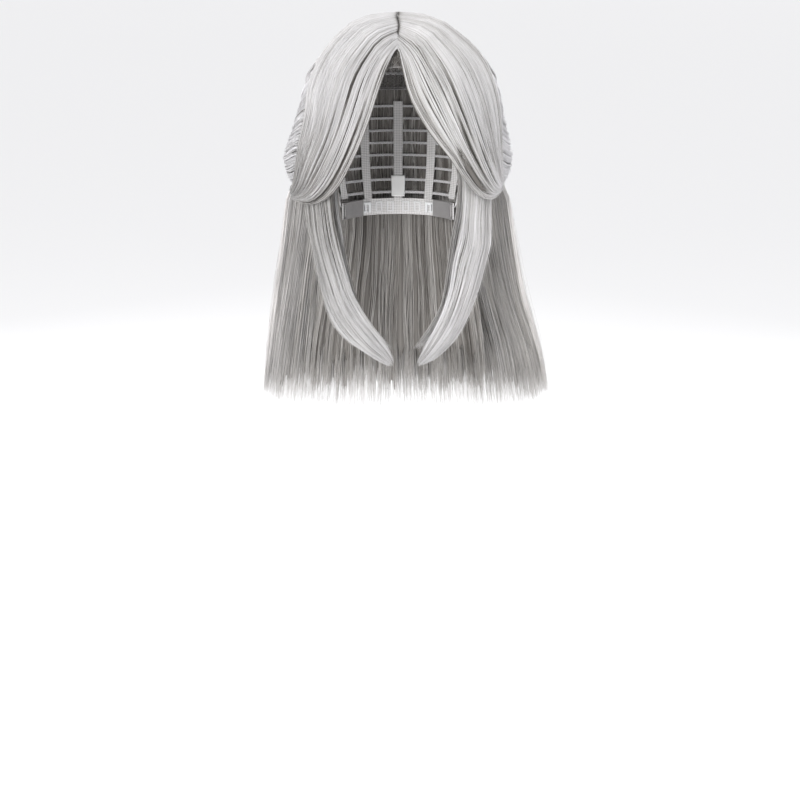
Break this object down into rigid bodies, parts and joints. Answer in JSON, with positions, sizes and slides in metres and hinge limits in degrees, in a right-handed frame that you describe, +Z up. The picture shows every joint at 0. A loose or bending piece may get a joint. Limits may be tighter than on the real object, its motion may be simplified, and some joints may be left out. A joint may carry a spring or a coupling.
{
  "type": "costume wig",
  "caption": "Long straight half-up costume wig with a parted swept fringe, tapered front locks and a hooked, adjustable wefted cap.",
  "frame": {"origin": "middle of the head opening at brow height, the centre of its widest level section", "axes": "+Z up through the crown, the face looks along -Y, +X towards the wearer's left ear"},
  "size_m": [0.2871, 0.2382, 0.4084],
  "materials": {
    "hair": "smooth synthetic fibre with a soft silky gloss",
    "hair_shade": "the same fibre in the shaded under layers",
    "lace": "open net of fine thread",
    "elastic": "woven elastic tape",
    "weft": "machine-sewn weft stitching",
    "thread": "covered thread",
    "label": "plain satin tape, blank",
    "tie": "ribbed covered elastic",
    "skin_top": "smooth knitted parting cloth",
    "clear_plastic": "translucent white moulded plastic"
  },
  "bodies": {
    "cap": {"crown_net": "lace", "part_patch": "skin_top", "front_band": "lace", "ear_tab_left": "elastic", "ear_tab_right": "elastic", "ear_tab_stay_left": "clear_plastic", "ear_tab_stay_right": "clear_plastic", "side_band_left": "elastic", "side_band_right": "elastic", "nape_band": "elastic", "strap_tunnel_left": "lace", "strap_tunnel_right": "lace", "adjuster_loops_left": "thread", "adjuster_loops_right": "thread", "back_tape_centre": "elastic", "back_tape_left": "elastic", "back_tape_right": "elastic", "side_tape_left": "elastic", "side_tape_right": "elastic", "back_weft_rows": "weft", "crown_weft_rows": "weft", "care_label": "label", "crown_hair_left": "hair", "crown_hair_right": "hair", "fringe_left": "hair", "fringe_right": "hair", "swept_side_left": "hair", "swept_side_right": "hair", "upper_back_hair": "hair_shade", "hair_tie": "tie"},
    "back_curtain": {"back_hair_left": "hair", "back_hair_centre": "hair", "back_hair_right": "hair"},
    "tail": {"half_up_tail": "hair"},
    "nape_layer": {"nape_hair": "hair_shade"},
    "lock_left": {"side_lock_left": "hair", "inner_lock_left": "hair"},
    "lock_right": {"side_lock_right": "hair", "inner_lock_right": "hair"},
    "adjuster_left": {"adjuster_strap_left": "elastic", "adjuster_hook_left": "clear_plastic"},
    "adjuster_right": {"adjuster_strap_right": "elastic", "adjuster_hook_right": "clear_plastic"}
  },
  "joints": [
    {"name": "back_curtain_swing", "type": "hinge", "parent": "cap", "child": "back_curtain", "pos_m": [0, 0.084, -0.018], "axis": [1, 0, 0], "range_deg": [0, 16]},
    {"name": "tail_swing", "type": "hinge", "parent": "cap", "child": "tail", "pos_m": [0, 0.12, -0.024], "axis": [1, 0, 0], "range_deg": [0, 18]},
    {"name": "nape_layer_swing", "type": "hinge", "parent": "cap", "child": "nape_layer", "pos_m": [0, 0.086, -0.082], "axis": [1, 0, 0], "range_deg": [0, 15]},
    {"name": "lock_left_swing", "type": "hinge", "parent": "cap", "child": "lock_left", "pos_m": [0.074, -0.052, -0.06], "axis": [-1, 0, 0], "range_deg": [0, 25]},
    {"name": "lock_right_swing", "type": "hinge", "parent": "cap", "child": "lock_right", "pos_m": [-0.074, -0.052, -0.06], "axis": [-1, 0, 0], "range_deg": [0, 25]},
    {"name": "adjuster_left_slide", "type": "hinge", "parent": "cap", "child": "adjuster_left", "pos_m": [0, 0.0285, -0.084], "axis": [0, 0, 1], "range_deg": [0, 24]},
    {"name": "adjuster_right_slide", "type": "hinge", "parent": "cap", "child": "adjuster_right", "pos_m": [0, 0.0285, -0.084], "axis": [0, 0, -1], "range_deg": [0, 24]}
  ],
  "couplings": [
    {"joint": "tail_swing", "follows": "back_curtain_swing", "ratio": 1.1},
    {"joint": "nape_layer_swing", "follows": "back_curtain_swing", "ratio": 0.9}
  ]
}
